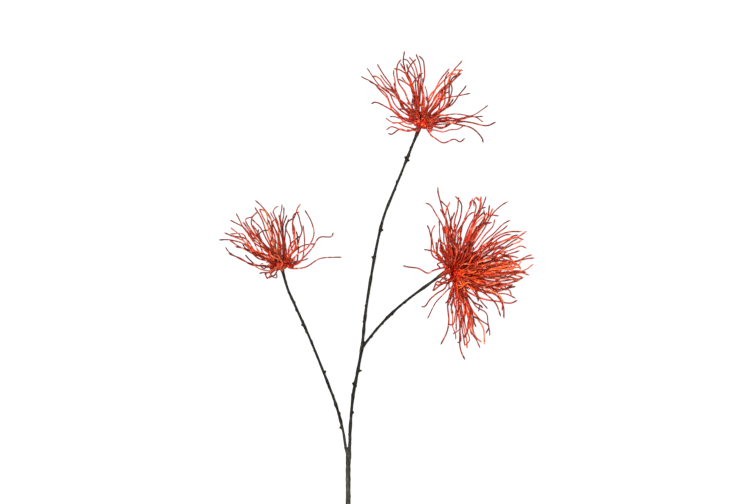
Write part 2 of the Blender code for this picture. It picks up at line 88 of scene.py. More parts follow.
# Bud scars: the place up the drawing, the side of the branch, -1 left or 1 right, and the reach from it.
MAIN_BUDS = (
    (36, 1, 1.0), (65, -1, 1.1), (78, 1, 2.2), (190.5, -1, 1.2), (220, 1, 1.2), (290, 1, 1.2), (291, -1, 1.2),
)
LEFT_BUDS = ((21.7, -1, 1.5), (76.6, 1, 1.3), (124, -1, 0.9))
BUD_RISE = 0.9
BUD_RADIUS = 1.1
BUD_TIP_RADIUS = 0.75

# The strands: round, thinning to a slightly thicker tip.
STRAND_SIDES = 7
STRAND_SEGMENTS = 34
ROOT_RADIUS = 0.85
STRAND_TIP_RADIUS = 0.66
FLOOR_CLEARANCE = 0.4
FLOOR_SOFTNESS = 1.5
STEM_CLEARANCE = 5.0
STEM_CLEARANCE_REACH = 7.0

# Routes of the leading strands as seen from above: x, y pairs in millimetres from the head's heart, from
# where the strand leaves the heart to its tip. Followers and fillers are drawn round them by a rule.
TOP_ROUTES = (
    (-11, 0, -27, 13, -38, 31, -60, 46), (-10, 12, -24, 23, -43, 38, -54, 54),
    (-16, 2, -31, 12, -46, 19, -50, 17), (-9, 4, -23, 23, -32, 40, -44, 58), (-15, 12, -25, 27, -41, 47),
    (-12, 14, -33, 34, -45, 46, -49, 46), (-9, 2, -16, 4, -31, 6), (-4, -9, -18, -9, -29, -6, -35, -8),
    (-5, -7, -13, -10, -21, -8, -29, -13, -33, -12), (-10, 10, -17, 14, -24, 31, -27, 47, -27, 53),
    (-4, 8, -7, 22, -12, 42, -21, 51, -27, 53), (-7, 8, -15, 27, -24, 45, -23, 58, -20, 63),
    (-3, 12, -12, 42, -17, 54, -17, 71), (-3, 14, -5, 32, -7, 50, -14, 62, -18, 63),
    (-5, 12, -9, 38, -17, 52, -21, 58), (2, 10, 3, 27, -4, 42, -13, 53, -14, 59),
    (-2, 12, 0, 42, -1, 59, -5, 69), (-4, 12, -9, 32, -13, 50, -9, 59, -5, 63),
    (1, 14, 2, 39, 4, 53, 2, 62, -2, 67), (3, 10, 7, 24, 4, 37), (6, 16, 13, 29, 19, 41, 28, 53),
    (8, 10, 16, 21, 20, 30, 27, 40, 33, 51, 41, 62), (5, 10, 8, 24, 14, 32, 25, 43, 33, 51, 42, 51),
    (9, 8, 18, 18, 23, 26, 26, 37, 30, 46, 35, 48), (9, 4, 22, 13, 28, 22, 28, 34, 31, 43, 39, 49),
    (10, -3, 24, -5, 30, -1, 38, 4, 48, 5),
    (8, 14, 19, 31, 34, 44, 41, 53), (9, 2, 22, 12, 29, 22, 31, 34, 29, 42),
    (10, 6, 24, 13, 32, 18, 39, 28, 45, 36), (10, 10, 22, 22, 36, 25, 49, 28),
    (11, -3, 31, -1, 45, 5, 55, 8, 67, 17), (10, 4, 19, 6, 34, 7, 53, 5, 62, 5),
    (10, 1, 20, 2, 40, 3, 55, 4, 62, 0),
    (11, -2, 29, 2, 51, -1, 67, -3, 75, 0), (10, 0, 19, 0, 37, -2, 53, -8, 61, -16, 62, -21),
    (9, -2, 17, 1, 21, 4),
    (6, -7, 12, -14, 22, -20, 34, -17, 39, -19, 44, -16), (10, -6, 19, -9, 37, -6, 44, -3),
    (-11, -2, -26, 9, -36, 27, -45, 36), (-9, 4, -26, 17, -34, 31, -52, 41), (-3, 14, -3, 34, -2, 48),
    (2, 14, 1, 30, 2, 43), (7, 12, 15, 25, 24, 36), (8, 8, 17, 18, 22, 31, 30, 41),
)
LEFT_ROUTES = (
    (-4, 10, -8, 34, -13, 50, -26, 64),
    (-7, 14, -15, 32, -20, 47, -26, 57), (-5, 16, -10, 33, -16, 44, -21, 55),
    (-10, 9, -26, 21, -39, 39, -45, 51), (-12, 5, -23, 14, -30, 28, -38, 37, -51, 44),
    (-11, 3, -26, 12, -40, 27, -50, 37),
    (-12, 6, -28, 14, -38, 29, -50, 31), (-11, 8, -29, 14, -40, 25, -51, 28),
    (-10, 2, -23, 6, -37, 20, -50, 24, -62, 24), (-12, 4, -31, 12, -45, 20, -51, 24),
    (-10, -3, -27, 0, -39, 4, -51, 12, -55, 17), (-14, 6, -30, 13, -46, 18),
    (-11, 9, -21, 24, -33, 38, -35, 45, -29, 47, -24, 52), (-10, 12, -25, 27, -34, 36, -38, 42),
    (-5, -5, -13, -7, -21, -4, -27, 0), (-9, -3, -25, 0, -31, 4, -35, 10),
    (-4, -6, -8, -12, -14, -14, -17, -9),
    (2, 10, 1, 24, -4, 41, -9, 53), (0, 12, -3, 40, -7, 52, -5, 56, -2, 58), (4, 9, 4, 21, 0, 42, 0, 60),
    (3, 14, 1, 40, 3, 57), (6, 6, 11, 12, 8, 26, 5, 37, 7, 43, 11, 46),
    (9, 7, 15, 17, 12, 38, 15, 52, 20, 60),
    (7, 10, 13, 20, 12, 36, 13, 49, 19, 52), (8, 5, 14, 14, 20, 28, 20, 42, 16, 51),
    (9, 8, 15, 20, 14, 32, 12, 42),
    (9, -2, 19, 2, 23, 16, 22, 39), (9, 2, 17, 10, 27, 17, 33, 29, 30, 43, 24, 54),
    (9, -2, 22, 5, 31, 17, 39, 26, 50, 28, 52, 32), (9, -4, 24, -3, 39, 5, 54, 7, 61, 7),
    (-8, -6, -15, -9, -22, -9), (-6, 6, -13, 10, -10, 14, -5, 12), (6, -1, 11, -3, 13, 2, 8, 5),
    (-8, 6, -15, 13, -22, 20, -28, 25, -33, 34, -38, 42),
    (-10, 10, -20, 24, -28, 35, -30, 40, -28, 47, -23, 52),
    (-5, 8, -11, 18, -16, 29, -22, 38, -28, 45), (-2, 10, -3, 24, -6, 36, -11, 46, -16, 53, -21, 55),
    (-1, 12, -1, 26, -4, 40, -10, 52), (-6, 10, -10, 20, -8, 30, -10, 38, -12, 44),
    (-9, 8, -18, 21, -25, 33, -30, 39),
)
RIGHT_ROUTES = (
    (-5, 12, -8, 30, -9, 52, -14, 67, -18, 81, -18, 87), (-6, 14, -12, 44, -20, 60, -26, 69, -31, 71),
    (-9, 11, -14, 21, -16, 38, -18, 53), (-4, 16, -4, 47, -8, 61, -9, 67, -16, 74),
    (-3, 20, -11, 50, -10, 62, -6, 72), (-4, 22, -9, 48, -13, 61, -16, 65),
    (-9, 10, -17, 13, -25, 22, -25, 36, -29, 49), (-13, 12, -21, 22, -25, 38, -24, 44, -21, 49),
    (-8, 10, -18, 18, -19, 28, -18, 36), (-10, 6, -23, 4, -28, 1, -38, 5, -53, 9), (-4, 18, -6, 40, -5, 58),
    (-2, 15, -6, 46, -2, 62), (-2, 16, -1, 42, 5, 58, 5, 70, -1, 78), (-1, 20, -2, 47, 1, 66, 3, 77),
    (0, 18, 3, 44, 11, 60, 16, 76), (2, 20, 6, 46, 12, 58, 19, 62), (5, 24, 15, 50, 22, 62, 25, 72, 20, 76),
    (6, 20, 16, 44, 23, 60, 28, 72, 30, 78), (7, 22, 17, 50, 24, 65, 29, 67), (8, 20, 24, 46, 32, 57, 34, 69),
    (9, 16, 27, 44, 37, 60, 47, 70, 52, 73), (10, 20, 24, 45, 34, 58, 42, 58), (6, 26, 18, 52, 28, 62),
    (12, 18, 28, 38, 36, 47, 38, 55), (12, 12, 28, 31, 43, 46, 55, 54), (14, 16, 34, 34, 44, 43, 51, 49),
    (13, 12, 30, 31, 41, 38, 56, 42, 65, 43), (12, 10, 31, 26, 49, 34, 62, 37, 71, 43),
    (16, 12, 40, 30, 60, 36, 67, 34), (16, 8, 36, 17, 52, 27, 65, 34), (14, 9, 38, 24, 50, 27, 56, 31),
    (18, 10, 42, 21, 58, 25, 65, 28, 70, 26), (18, 6, 46, 17, 58, 21, 64, 24), (16, 4, 40, 9, 62, 14, 77, 19),
    (20, 3, 44, 8, 66, 14, 79, 16), (18, 2, 42, 6, 60, 10, 64, 5), (15, 0, 35, -2, 59, 1, 72, 6, 77, 10),
    (20, -2, 46, 0, 60, 3, 70, 2), (18, -1, 44, 1, 61, 2, 73, -1), (12, -6, 34, -10, 49, -3, 63, -5, 68, -3),
    (14, -8, 36, -10, 53, -9, 58, -6), (12, -12, 34, -18, 49, -16, 54, -13, 59, -13),
    (14, -10, 40, -16, 53, -16, 56, -22), (13, -14, 36, -19, 49, -20, 59, -24),
    (10, -16, 24, -24, 40, -27, 54, -29, 61, -26), (14, -6, 29, -9, 39, -16, 46, -28, 49, -44),
    (12, -8, 37, -16, 46, -29, 46, -36), (10, -11, 26, -18, 38, -28, 44, -42),
    (8, -14, 18, -30, 31, -41, 33, -56, 34, -62), (8, -18, 22, -44, 33, -52, 30, -60),
    (7, -18, 20, -43, 27, -54, 28, -70),
    (10, -9, 18, -16, 25, -27, 30, -35), (5, -18, 11, -36, 17, -54, 24, -75),
    (6, -16, 13, -44, 19, -62, 25, -68), (2, -20, 4, -56, 4, -73, 9, -86), (4, -18, 8, -52, 11, -69, 11, -75),
    (3, -22, 6, -50, 9, -72), (2, -18, 4, -54, 5, -67, 1, -69),
    (-4, -14, -8, -30, -7, -46, -9, -58, -15, -71),
    (-1, -16, -4, -36, -3, -48, 0, -66), (-4, -13, -11, -18, -19, -26, -24, -35, -29, -44),
    (-8, -9, -14, -16, -25, -23, -31, -32, -35, -32), (-9, -8, -17, -12, -23, -16, -20, -8),
    (-8, 8, -15, 12, -19, 9, -15, 6), (-4, -14, -9, -27, -11, -29), (6, -16, 15, -36, 18, -47),
    (4, -20, 13, -44, 16, -61), (6, 5, 10, 9, 18, 9, 24, 6), (3, -9, 9, -13, 17, -11),
    (20, 6, 36, 13, 50, 17, 58, 12, 62, 8), (18, 4, 38, 9, 52, 12, 58, 6, 60, 10),
    (16, 2, 36, 6, 50, 8, 57, 2), (22, 8, 44, 16, 58, 18, 63, 16), (20, 2, 40, 4, 56, 8, 63, 10, 64, 14),
    (-6, 12, -10, 24, -12, 36, -13, 48), (-3, 14, -6, 26, -9, 40, -9, 50), (1, 14, 0, 28, 4, 40, 6, 52),
    (5, 12, 9, 24, 15, 36, 20, 48), (6, 14, 13, 36, 17, 48, 21, 60, 25, 70, 21, 77, 18, 74, 18, 67),
    (8, 16, 14, 36, 19, 54, 23, 66, 25, 78), (7, 20, 16, 44, 22, 53, 31, 60),
    (-1, -12, -2, -26, 1, -38, 1, -46, 0, -57), (3, -14, 7, -30, 8, -46, 10, -59, 6, -62),
    (5, -14, 12, -31, 15, -50, 12, -56, 13, -66, 8, -72), (10, -8, 22, -11, 32, -16, 42, -21, 47, -28),
)

# Each head: its heart in the drawing, its strands' full length, the half sizes of its broad core across,
# along and over the stem's line, the heading of the stem's end, the followers to each leading strand, the
# fillers, the bearing and half width in degrees of the fan that these spread over, and the seed.
HEADS = {
    "bloom_top": {
        "heart": (73, 327), "routes": TOP_ROUTES, "length": 72, "core": (11, 6.5, 8),
        "heading": (0.38, 0.92), "followers": 0.15, "fillers": 9, "fan": (80, 100), "seed": 11,
    },
    "bloom_left": {
        "heart": (-67, 185), "routes": LEFT_ROUTES, "length": 68, "core": (9.5, 6.5, 8),
        "heading": (-0.27, 0.96), "followers": 0.15, "fillers": 9, "fan": (98, 88), "seed": 23,
    },
    "bloom_right": {
        "heart": (108, 175), "routes": RIGHT_ROUTES, "length": 82, "core": (14, 6.5, 9),
        "heading": (0.76, 0.65), "followers": 0.1, "fillers": 16, "fan": (15, 135), "seed": 37,
    },
}

# Only what the looks add: followers beside leading strands that lie close, curls close round the heart, and
# the short flower bases that stand all over the core.
EXTRA_STRANDS = {"bloom_top": 5, "bloom_left": 8, "bloom_right": 44}
HEART_CURLS = {"bloom_top": 12, "bloom_left": 9, "bloom_right": 30}
FLOWER_BASES = {"bloom_top": 110, "bloom_left": 100, "bloom_right": 180}

# Tips crowd where more than so many lie within the reach of one. A tip is alone where few lie near it.
CROWD = 4
CROWD_REACH = 15.0
ALONE_REACH = 12.0

# How thick each head's strands are next to the common size, and how much browner than the reddest head.
GIRTHS = {"bloom_top": 1.0, "bloom_left": 0.98, "bloom_right": 1.04}
BROWNS = {"bloom_top": 0.35, "bloom_left": 0.8, "bloom_right": 0.0}

# Fans of further strands: bearing and half width in degrees, least and greatest reach, least and greatest
# tone, from dark red at 0 to orange at 1, and how many.
FANS = {
    "bloom_top": ((80, 95, 16, 34, 0.2, 1.0, 3),),
    "bloom_left": ((98, 80, 14, 30, 0.2, 1.0, 3),),
    "bloom_right": (
        # The third fan keeps to darker tones: the strands' own dark reds, set there as painted shade for the
        # dense part of the head.
        (15, 130, 16, 38, 0.1, 1.0, 44), (8, 20, 40, 64, 0.4, 0.95, 36), (84, 40, 10, 42, 0.15, 0.6, 54),
    ),
}

# How a head's own tones are spread, the bearing in degrees that they are most orange towards, and how much.
TONES = {"bloom_top": (1.0, 40, 0.2), "bloom_left": (1.15, 120, 0.15), "bloom_right": (0.85, 8, 0.45)}

# A few single curls that only the looks need: the tone, then the route from the heart.
LOOPS = {
    "bloom_top": ((0.1, 10, 1, 14, 2, 19, 5), (0.3, -4, -6, -10, -9, -14, -8)),
    "bloom_left": (
        (0.3, -5, -5, -9, -10, -14, -14, -14.5, -11, -11, -9, -7, -13, -4, -13, -4, -9),
        (0.86, -8, 16, -10, 11, -7, 7, -2, 5, 2, 1, 1, -4), (0.8, -7, 4, -5, 9, -1, 7, -3, 3),
        (0.84, -5, -6, -1, -2, 1, -6, 4, -3),
    ),
    "bloom_right": (
        (0.5, -8, -6, -14, -8, -20, -7, -21, -10, -17, -11, -15, -8),
        (0.2, -4, 4, -8, 1, -12, -2, -15, -5, -18, -9), (0.4, -6, 2, -10, -1, -11, -5, -7, -6, -3, -5),
        (0.3, -9, 6, -13, 2, -15, -2, -13, -5, -9, -4), (0.9, 4, 0, 5, 9, 12, 10, 19, 8),
        (0.92, -3, -8, 2, -12, 7, -10, 5, -6), (0.92, 1, -14, 6, -13, 11, -8, 15, -9),
    ),
}

# The finer pieces: the knobs' spacing, steps along and sides around, a core's size next to the solid one's,
# and the radii along a flower base.
KNOB_SPACING = 9.5
KNOB_STEPS = 8
KNOB_SIDES = 8
BUD_STEPS = 10
BUD_SIDES = 10
CURL_STEPS = 18
NECK_STEPS = 24
NECK_SIDES = 18
CORE_SIDES = 20
CORE_SCALE = 0.95
BASE_RADII = (0.95, 0.95, 0.9, 0.85, 0.85, 0.95, 1.05, 0.95, 0.45)

# The last stretch of a branch, which its head's strands are kept clear of: points of its line, and steps.
BRANCH_END_POINTS = 8
BRANCH_END_STEPS = 60

# Seeds: the stem's own, and what is added to a head's for its shapes and for its tones and girths.
STEM_SEED = 5
SHAPE_SEED = 1000
TINT_SEED = 2000

# The stem's tubes become one skin of this voxel size, smoothed a little. Faces that look back and lie this
# near to its cut end are bare wood, and the bark darkens between two places along it. In metres.
SKIN_VOXEL = 0.00042
SKIN_EASE = 0.5
SKIN_ROUNDS = 3
CUT_DEPTH = 0.0006
PALE_BARK_Y = (-0.160, -0.095)

# Edges that turn more than this stay sharp.
SHARP_ANGLE = math.radians(60)

# The stage, in metres: the ground, the sky, each light's name, place, size and power, and the camera, with
# its sensor's width in millimetres.
GROUND_HALF = 30.0
GROUND_LEVEL = -0.0004
GROUND_GLOW = 0.94
SKY_STRENGTH = 0.22
LIGHTS = (("key", (-0.35, 0.45, 2.6), 0.6, 118.0), ("fill", (1.4, -0.6, 1.8), 2.2, 6.0))
CAMERA_HEIGHT = 6.0
CAMERA_REACH = 60.0
FRAME_WIDTH = 0.756
FRAME_CENTRE = (0.00095, 0.075)
SENSOR_WIDTH = 36.0


def ease(t):
    """Rise smoothly from 0 to 1."""
    t = min(max(t, 0.0), 1.0)
    return t * t * (3.0 - 2.0 * t)


def curve_point(points, span, t):
    """A point on the smooth curve through the given ones, t of the way along one span."""
    p1, p2 = points[span], points[span + 1]
    p0 = points[span - 1] if span > 0 else p1 * 2.0 - p2
    p3 = points[span + 2] if span + 2 < len(points) else p2 * 2.0 - p1
    k0, k1, k2 = (max((b - a).length, 1e-6) ** 0.5 for a, b in ((p0, p1), (p1, p2), (p2, p3)))
    m1 = ((p1 - p0) / k0 - (p2 - p0) / (k0 + k1) + (p2 - p1) / k1) * k1
    m2 = ((p2 - p1) / k1 - (p3 - p1) / (k1 + k2) + (p3 - p2) / k2) * k1
    return (
        p1 * (2 * t**3 - 3 * t**2 + 1) + m1 * (t**3 - 2 * t**2 + t)
        + p2 * (3 * t**2 - 2 * t**3) + m2 * (t**3 - t**2)
    )


def smooth_path(points, segments):
    """Evenly spaced points along the smooth curve through the given ones."""
    fine = [curve_point(points, span, i / 12.0) for span in range(len(points) - 1) for i in range(12)]
    fine.append(points[-1].copy())
    run = [0.0]
    for a, b in zip(fine, fine[1:]):
        run.append(run[-1] + (b - a).length)
    path = []
    k = 0
    for i in range(segments + 1):
        at = run[-1] * i / segments
        while k < len(fine) - 2 and run[k + 1] < at:
            k += 1
        path.append(fine[k].lerp(fine[k + 1], (at - run[k]) / max(run[k + 1] - run[k], 1e-9)))
    return path


def branch_path(route, low, high, rise_from):
    """A branch's centre line, rising from one height to another."""
    flat = [Vector((x, y, 0.0)) for x, y in route]
    length = sum((b - a).length for a, b in zip(flat, flat[1:]))
    path = smooth_path(flat, round(length / STEM_STEP))
    for p in path:
        p.z = low + (high - low) * ease((p.y - rise_from) / (route[-1][1] - rise_from))
    return path


def branch_radii(path, low, high, swellings, foot=None):
    """Radii that thin along a branch and swell at its nodes."""
    radii = []
    for p in path:
        t = (p.y - path[0].y) / (path[-1].y - path[0].y)
        radius = low + (high - low) * t
        if foot:
            radius += (foot - low) * (1.0 - ease((p.y - FOOT_BLEND_Y) / FOOT_BLEND_RUN))
        for place, extra, half in swellings:
            radius += extra * math.exp(-((p.y - place) / half) ** 2)
        radii.append(radius)
    return radii


def stem_branches():
    """The main stem and the two side shoots, each as a centre line with its radii."""
    apothem = math.cos(math.pi / STEM_SIDES)
    main = branch_path(MAIN_ROUTE, 0.0, HEART_HEIGHT, RISE_START_Y)
    main_radii = branch_radii(main, FORK_RADIUS, TIP_RADIUS, MAIN_SWELLINGS, FOOT_RADIUS)
    for p, radius in zip(main, main_radii):
        p.z = max(p.z, radius * apothem)
    branches = [(main, main_radii)]
    for route, swellings in ((LEFT_ROUTE, LEFT_SWELLINGS), (RIGHT_ROUTE, RIGHT_SWELLINGS)):
        start = min(main, key=lambda p: abs(p.y - route[0][1]))
        path = branch_path(route, start.z, HEART_HEIGHT, route[0][1])
        branches.append((path, branch_radii(path, SHOOT_RADIUS, TIP_RADIUS, swellings)))
    return branches


def head_axes(head):
    """The heading of the stem's end and the level direction across it."""
    ahead = Vector((head["heading"][0], head["heading"][1], 0.0)).normalized()
    return ahead, Vector((ahead.y, -ahead.x, 0.0))


def strand_points(rng, head, flat, rises):
    """A strand's route in space: it leaves the core, and its rise or fall makes up its full length."""
    heart = Vector((head["heart"][0], head["heart"][1], HEART_HEIGHT))
    flat = [Vector((x, y, 0.0)) for x, y in zip(flat[::2], flat[1::2])]
    runs = [flat[0].length]
    for a, b in zip(flat, flat[1:]):
        runs.append(runs[-1] + (b - a).length)
    full = head["length"] * rng.uniform(0.88, 1.06)
    depth = 0.72 * math.sqrt(max(full**2 - runs[-1] ** 2, 0.0)) + rng.uniform(2.0, 7.0)
    depth = min(depth, 6.0 + 1.6 * runs[-1])
    if not rises:
        depth = min(depth, HEART_HEIGHT * rng.uniform(0.7, 1.3))
    crest = rng.uniform(0.45, 0.8)
    ahead, across = head_axes(head)
    wide, deep, tall = head["core"]
    leaves = flat[0].normalized()
    root = across * leaves.dot(across) * min(wide * 0.8, flat[0].length * 0.7)
    root += across * rng.uniform(-0.2, 0.2) * wide
    root += ahead * leaves.dot(ahead) * deep * 0.3
    root.z = tall * (0.25 if rises else -0.25)
    points = [heart + root]
    for p, run in zip(flat, runs):
        lift = depth * math.sin(math.pi * crest * run / runs[-1]) / math.sin(math.pi * min(crest, 0.5))
        points.append(heart + p + Vector((0, 0, lift if rises else -lift)))
    return points


def beside_route(rng, route, turn, scale, stray):
    """A route beside a leading one, turned, scaled and strayed more and more towards the tip."""
    beside = []
    for k in range(0, len(route), 2):
        reach = (k + 2) / len(route)
        a = turn * (0.3 + 0.7 * reach)
        x = route[k] * math.cos(a) - route[k + 1] * math.sin(a)
        y = route[k] * math.sin(a) + route[k + 1] * math.cos(a)
        beside.append(x * scale + rng.uniform(-stray, stray) * reach)
        beside.append(y * scale + rng.uniform(-stray, stray) * reach)
    return beside


def spread_route(bearing, reach, bends):
    """A route straight out from the heart, but for a swing at some parts of its reach."""
    route = []
    for part, swing in bends:
        route += [reach * part * math.cos(bearing + swing), reach * part * math.sin(bearing + swing)]
    return route


def head_strands(head):
    """The routes of a head's strands: the leading ones, seeded followers beside them, and fillers."""
    rng = random.Random(head["seed"])
    strands = []
    for route in head["routes"]:
        rises = rng.random() < 0.62
        strands.append((strand_points(rng, head, route, rises), rises))
        if rng.random() < head["followers"]:
            turn = rng.choice((-1, 1)) * rng.uniform(0.05, 0.16)
            scale = rng.uniform(0.78, 1.0)
            beside = beside_route(rng, route, turn, scale, 1.5)
            rises = rng.random() < 0.55
            strands.append((strand_points(rng, head, beside, rises), rises))
    for k in range(head["fillers"]):
        rises = k % 3 < 2
        middle, half_width = head["fan"]
        spread = 2.0 * ((k * 0.618 + 0.5 * rng.random() / head["fillers"]) % 1.0) - 1.0
        bearing = math.radians(middle + half_width * spread)
        reach = rng.uniform(14, 30) if rises else rng.uniform(26, 42)
        bends = ((0.3, rng.uniform(-0.3, 0.3)), (0.68, rng.uniform(-0.35, 0.35)), (1.0, 0.0))
        route = spread_route(bearing, reach, bends)
        strands.append((strand_points(rng, head, route, rises), rises))
    return strands


def clear_of_stem(p, rises, line):
    """Bend a point of a strand over or under the stem, and keep it off the surface below."""
    near = min(line, key=lambda q: (q.xy - p.xy).length)
    weight = math.exp(-(((near.xy - p.xy).length / STEM_CLEARANCE_REACH) ** 2))
    if rises:
        p.z = max(p.z, near.z + STEM_CLEARANCE * weight)
    elif weight > 0.02:
        p.z = min(p.z, near.z - STEM_CLEARANCE * weight)
    over = p.z - FLOOR_CLEARANCE
    if over < 15.0:
        p.z = FLOOR_CLEARANCE + FLOOR_SOFTNESS * math.log1p(math.exp(over / FLOOR_SOFTNESS))
    return p


def new_material(name):
    """A material with its node tree, its shader and the object's own coordinates."""
    material = bpy.data.materials.new(name)
    material.use_nodes = True
    tree = material.node_tree
    place = tree.nodes.new("ShaderNodeTexCoord").outputs["Object"]
    return material, tree, tree.nodes["Principled BSDF"], place


def add(tree, kind, **values):
    """Make a node and set its properties or its input sockets by name."""
    node = tree.nodes.new(kind)
    for key, value in values.items():
        if hasattr(node, key):
            setattr(node, key, value)
        else:
            node.inputs[key.replace("_", " ")].default_value = value
    return node


def texture(tree, kind, place, **values):
    """A texture, or a mapping for one, that reads the given coordinates."""
    node = add(tree, kind, **values)
    tree.links.new(place, node.inputs["Vector"])
    return node


def bump(tree, height, strength, distance):
    """A bump fed by a socket."""
    node = add(tree, "ShaderNodeBump", Strength=strength, Distance=distance)
    tree.links.new(height, node.inputs["Height"])
    return node


def ramp(tree, source, stops):
    """The colour of a colour ramp fed by a socket."""
    node = tree.nodes.new("ShaderNodeValToRGB")
    tree.links.new(source, node.inputs["Fac"])
    elements = node.color_ramp.elements
    while len(elements) < len(stops):
        elements.new(0.5)
    for element, (place, colour) in zip(elements, stops):
        element.position = place
        element.color = (*colour, 1.0)
    return node.outputs["Color"]


def mix(tree, kind, factor, first, second):
    """Blend two colours. The factor and the colours are sockets or fixed values."""
    node = tree.nodes.new("ShaderNodeMix")
    node.data_type = "RGBA"
    node.blend_type = kind
    for key, value in (("Factor", factor), ("A", first), ("B", second)):
        socket = node.inputs[key]
        if hasattr(value, "is_output"):
            tree.links.new(value, socket)
        elif isinstance(value, tuple):
            socket.default_value = (*value, 1.0)
        else:
            socket.default_value = value
    return node.outputs["Result"]


def strand_material(name, brown):
    """Satin orange-red, deep red at the heart and browner at the tips, each strand a little different, with
    painted highlights and shade.
    """
    material, tree, shader, place = new_material(name)
    along = add(tree, "ShaderNodeAttribute", attribute_name="along").outputs["Fac"]
    tone = add(tree, "ShaderNodeAttribute", attribute_name="tone").outputs["Fac"]
    facing_sky = add(tree, "ShaderNodeAttribute", attribute_name="facing_sky").outputs["Fac"]
    length = ramp(tree, along, (
        (0.0, (0.58, 0.012, 0.005)), (0.14, (0.62, 0.019, 0.008)), (0.34, (0.58, 0.040, 0.014)),
        (0.66, (0.50, 0.056, 0.020)), (1.0, (0.34, 0.070, 0.036)),
    ))
    own = ramp(tree, tone, (
        (0.0, (0.19, 0.007, 0.004)), (0.3, (0.44, 0.014, 0.005)), (0.62, (0.76, 0.055, 0.014)),
        (0.86, (0.92, 0.125, 0.026)), (1.0, (0.92, 0.23, 0.048)),
    ))
    colour = mix(tree, "MIX", 0.68, length, own)
    # Bands of darker and paler tone along the strands; the palest, pinker bands are painted highlight.
    bands = texture(tree, "ShaderNodeTexNoise", place, Scale=95.0, Detail=2.0, Roughness=0.5)
    band_tone_and_highlight = ramp(tree, bands.outputs["Fac"], (
        (0.36, (0.60, 0.48, 0.46)), (0.52, (1.0, 1.0, 1.0)), (0.66, (1.2, 1.4, 1.3)),
    ))
    colour = mix(tree, "MULTIPLY", 0.85, colour, band_tone_and_highlight)
    # Painted highlight: small pale pink patches mixed into the strands' colour.
    painted_highlight_noise = texture(tree, "ShaderNodeTexNoise", place, Scale=260.0, Detail=2.0, Roughness=0.5)
    painted_highlight = ramp(tree, painted_highlight_noise.outputs["Fac"], ((0.57, (0.0, 0.0, 0.0)), (0.68, (0.7, 0.7, 0.7))))
    colour = mix(tree, "MIX", painted_highlight, colour, (0.95, 0.33, 0.22))
    ends = ramp(tree, along, (
        (0.4, (1.0, 1.0, 1.0)), (0.74, (0.62, 0.58, 0.62)), (0.96, (0.42, 0.46, 0.54)),
    ))
    fade = ramp(tree, tone, ((0.4, (1.0, 1.0, 1.0)), (1.0, (0.45, 0.45, 0.45))))
    colour = mix(tree, "MIX", fade, colour, mix(tree, "MULTIPLY", 1.0, colour, ends))
    # Painted shade darkens each strand along its two sides, and painted highlight brightens its top and
    # underside, by how much each point faces the sky.
    sides = ramp(tree, facing_sky, (
        (0.06, (1.25, 1.2, 1.2)), (0.26, (0.85, 0.62, 0.60)), (0.38, (0.44, 0.14, 0.12)),
        (0.72, (0.90, 0.68, 0.64)), (0.93, (1.36, 1.38, 1.36)),
    ))
    colour = mix(tree, "MULTIPLY", 1.0, colour, sides)
    streak = texture(tree, "ShaderNodeTexNoise", place, Scale=420.0, Detail=3.0, Roughness=0.6)
    streak = streak.outputs["Fac"]
    shade = ramp(tree, streak, ((0.3, (0.74, 0.60, 0.56)), (0.62, (1.10, 1.10, 1.10))))
    colour = mix(tree, "MULTIPLY", 0.8, colour, shade)
    colour = mix(tree, "MULTIPLY", brown, colour, (0.70, 0.98, 1.10))
    tree.links.new(colour, shader.inputs["Base Color"])
    gloss = tree.nodes.new("ShaderNodeMapRange")
    gloss.inputs["To Min"].default_value = 0.32
    gloss.inputs["To Max"].default_value = 0.52
    tree.links.new(streak, gloss.inputs["Value"])
    tree.links.new(gloss.outputs["Result"], shader.inputs["Roughness"])
    tree.links.new(bump(tree, streak, 0.35, 0.00012).outputs["Normal"], shader.inputs["Normal"])
    shader.inputs["Specular IOR Level"].default_value = 0.06
    return material


def bark_material():
    """Dull olive-brown bark with fine ridges and specks, paler towards the cut end."""
    material, tree, shader, place = new_material("stem_bark")
    apart = tree.nodes.new("ShaderNodeSeparateXYZ")
    tree.links.new(place, apart.inputs["Vector"])
    height = tree.nodes.new("ShaderNodeMapRange")
    height.inputs["From Min"].default_value = PALE_BARK_Y[0]
    height.inputs["From Max"].default_value = PALE_BARK_Y[1]
    tree.links.new(apart.outputs["Y"], height.inputs["Value"])
    base = ramp(tree, height.outputs["Result"], (
        (0.0, (0.042, 0.039, 0.029)), (0.5, (0.029, 0.026, 0.019)), (1.0, (0.0100, 0.0078, 0.0052)),
    ))
    patches = texture(tree, "ShaderNodeTexNoise", place, Scale=160.0, Detail=5.0, Roughness=0.62)
    patches = patches.outputs["Fac"]
    light = ramp(tree, patches, (
        (0.36, (0.35, 0.33, 0.28)), (0.52, (1.0, 1.0, 1.0)), (0.66, (2.0, 1.95, 1.85)),
    ))
    colour = mix(tree, "MULTIPLY", 0.9, base, light)
    stretch = texture(tree, "ShaderNodeMapping", place, Scale=(1.0, 0.16, 1.0)).outputs["Vector"]
    ridges = texture(tree, "ShaderNodeTexNoise", stretch, Scale=1500.0, Detail=4.0, Roughness=0.55)
    ridges = ridges.outputs["Fac"]
    grain = ramp(tree, ridges, ((0.35, (0.7, 0.68, 0.62)), (0.65, (1.25, 1.22, 1.15))))
    colour = mix(tree, "MULTIPLY", 0.6, colour, grain)
    specks = texture(tree, "ShaderNodeTexVoronoi", stretch, Scale=520.0)
    speck = ramp(tree, specks.outputs["Distance"], ((0.10, (1.0, 1.0, 1.0)), (0.2, (0.0, 0.0, 0.0))))
    colour = mix(tree, "MIX", speck, colour, (0.08, 0.07, 0.05))
    tree.links.new(colour, shader.inputs["Base Color"])
    coarse = bump(tree, patches, 0.5, 0.0005)
    tree.links.new(bump(tree, ridges, 0.7, 0.0003).outputs["Normal"], coarse.inputs["Normal"])
    tree.links.new(coarse.outputs["Normal"], shader.inputs["Normal"])
    shader.inputs["Roughness"].default_value = 0.62
    shader.inputs["Specular IOR Level"].default_value = 0.14
    return material


